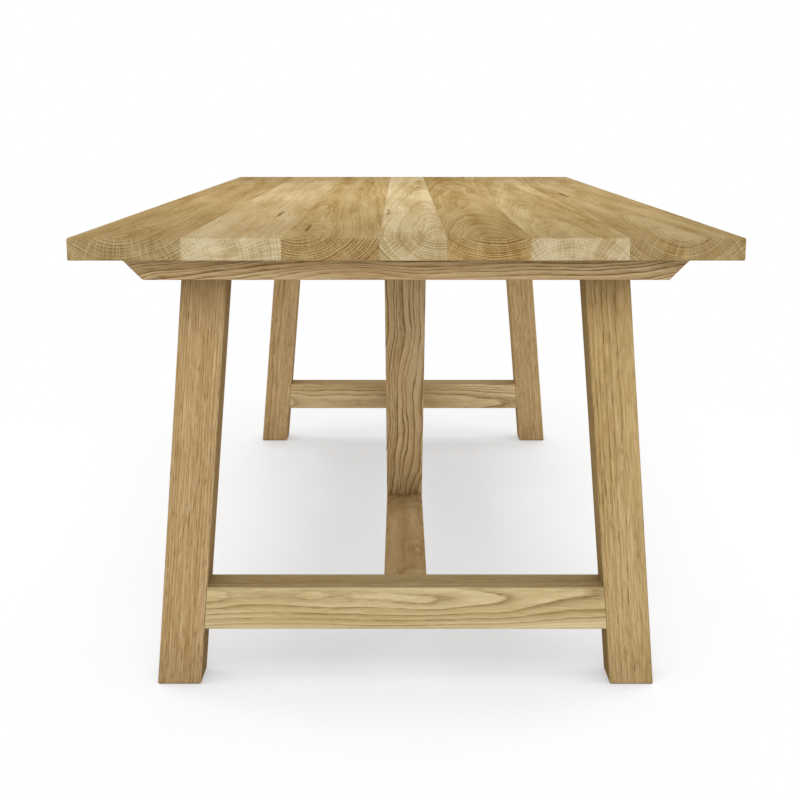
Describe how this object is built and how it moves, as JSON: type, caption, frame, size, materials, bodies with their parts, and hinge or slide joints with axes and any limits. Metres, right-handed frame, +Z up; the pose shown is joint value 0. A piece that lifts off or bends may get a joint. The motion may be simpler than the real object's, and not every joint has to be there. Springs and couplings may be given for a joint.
{
  "type": "trestle dining table",
  "caption": "Rectangular solid-wood dining table with an edge-glued top on two splayed-leg trestles, joined by a stretcher with diagonal braces.",
  "frame": {"origin": "on the floor, under the middle of the tabletop", "axes": "+X across the table to the right, +Y along its length from the front trestle to the rear one, +Z up"},
  "size_m": [0.96, 2.2, 0.74],
  "materials": {
    "oak": "clear matt oil or lacquer",
    "zinc_plated_steel": "bright zinc plate"
  },
  "bodies": {
    "root": {"top_board_1": "oak", "top_board_2": "oak", "top_board_3": "oak", "top_board_4": "oak", "top_board_5": "oak", "top_board_6": "oak", "top_board_7": "oak", "bearer_front_outer_stave": "oak", "bearer_front_middle_stave": "oak", "bearer_front_inner_stave": "oak", "leg_front_left": "oak", "leg_front_right": "oak", "lower_rail_front": "oak", "brace_front": "oak", "bearer_rear_outer_stave": "oak", "bearer_rear_middle_stave": "oak", "bearer_rear_inner_stave": "oak", "leg_rear_left": "oak", "leg_rear_right": "oak", "lower_rail_rear": "oak", "brace_rear": "oak", "stretcher": "oak", "tenon_wedges": "oak", "top_screws": "zinc_plated_steel", "brace_screws": "zinc_plated_steel", "stretcher_inserts": "zinc_plated_steel", "stretcher_studs": "zinc_plated_steel", "half_moon_washers": "zinc_plated_steel", "stretcher_nuts": "zinc_plated_steel"}
  },
  "joints": []
}
